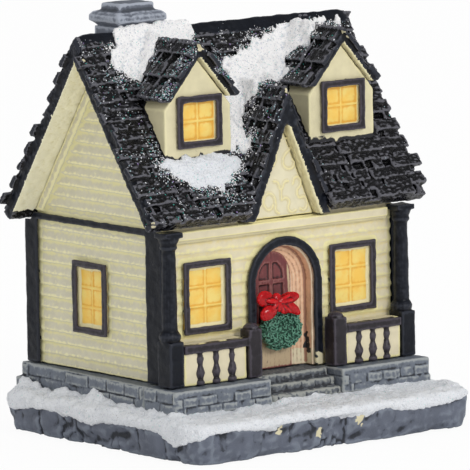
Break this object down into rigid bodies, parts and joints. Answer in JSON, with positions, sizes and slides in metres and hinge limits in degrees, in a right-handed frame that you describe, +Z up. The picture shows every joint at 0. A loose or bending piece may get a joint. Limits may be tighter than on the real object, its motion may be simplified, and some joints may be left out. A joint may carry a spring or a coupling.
{
  "type": "christmas village house",
  "caption": "Tabletop christmas village house with a snowy roof, dormers, a porch and a wreathed door, lit from inside by a battery lamp unit in its base with a hinged cover and a slide switch.",
  "frame": {"origin": "bottom centre of the rock base, on the surface that it stands on", "axes": "+X to the right along the front, +Y from the front door to the back wall, +Z up"},
  "size_m": [0.08, 0.0752, 0.0972],
  "materials": {
    "cream_paint": "matt hand-brushed paint on cast resin",
    "black_paint": "semi-gloss hand-brushed paint on cast resin",
    "black_shingle": "glossy paint on cast resin shingles, with glitter",
    "grey_brick": "matt painted brick relief, dry-brushed edges",
    "slate_paint": "matt blue-grey paint on cast resin",
    "rock_paint": "matt painted rock relief",
    "snow": "granular snow paste with glitter",
    "lit_pane": "translucent tinted pane, lit from behind",
    "door_wood": "matt paint with wood grain",
    "wreath_green": "rough evergreen relief, matt",
    "ribbon_red": "glossy paint",
    "white_plastic": "moulded plastic",
    "black_plastic": "moulded plastic",
    "steel": "plated steel",
    "lamp_plastic": "clear tinted lamp body"
  },
  "bodies": {
    "house": {"rock_base": "rock_paint", "base_snow": "snow", "foundation": "grey_brick", "porch_block_left": "grey_brick", "porch_block_right": "grey_brick", "door_steps": "grey_brick", "left_wall": "cream_paint", "right_wall": "cream_paint", "front_wall": "cream_paint", "back_wall": "cream_paint", "wall_trim_left": "black_paint", "wall_trim_right": "black_paint", "front_frieze": "cream_paint", "porch_column_left": "black_paint", "porch_column_right": "black_paint", "parapet_left": "cream_paint", "parapet_right": "cream_paint", "balustrade_left": "black_paint", "balustrade_right": "black_paint", "door_arch_frame": "black_paint", "door_jamb": "door_wood", "front_door": "door_wood", "door_wreath": "wreath_green", "wreath_bow": "ribbon_red", "roof_front": "black_shingle", "roof_back": "black_shingle", "ridge_cap": "black_paint", "gable_wall": "cream_paint", "gable_roof": "black_shingle", "dormer_left": "cream_paint", "dormer_right": "cream_paint", "dormer_roof_left": "black_shingle", "dormer_roof_right": "black_shingle", "chimney_stack": "slate_paint", "chimney_cap": "slate_paint", "roof_snow_chimney": "snow", "roof_snow_ridge": "snow", "roof_snow_valley": "snow", "roof_snow_eave": "snow", "light_housing": "white_plastic", "led_lamp": "lamp_plastic", "coin_cell": "steel", "contact_leaf": "steel", "window_frame_front_left": "black_paint", "window_pane_front_left": "lit_pane", "window_frame_front_right": "black_paint", "window_pane_front_right": "lit_pane", "window_frame_left_side": "black_paint", "window_pane_left_side": "lit_pane", "window_frame_right_side": "black_paint", "window_pane_right_side": "lit_pane", "window_frame_back": "black_paint", "window_pane_back": "lit_pane", "window_frame_dormer_left": "black_paint", "window_pane_dormer_left": "lit_pane", "window_frame_dormer_right": "black_paint", "window_pane_dormer_right": "lit_pane"},
    "battery_cover": {"battery_cover": "white_plastic", "cover_screw": "steel"},
    "switch": {"switch_slider": "black_plastic"}
  },
  "joints": [
    {"name": "cover_hinge", "type": "hinge", "parent": "house", "child": "battery_cover", "pos_m": [-0.0045, -0.0103, 0.0014], "axis": [-1, 0, 0], "range_deg": [0, 90]},
    {"name": "switch_slide", "type": "slide", "parent": "house", "child": "switch", "axis": [0, 1, 0], "range_m": [0, 0.002]}
  ]
}
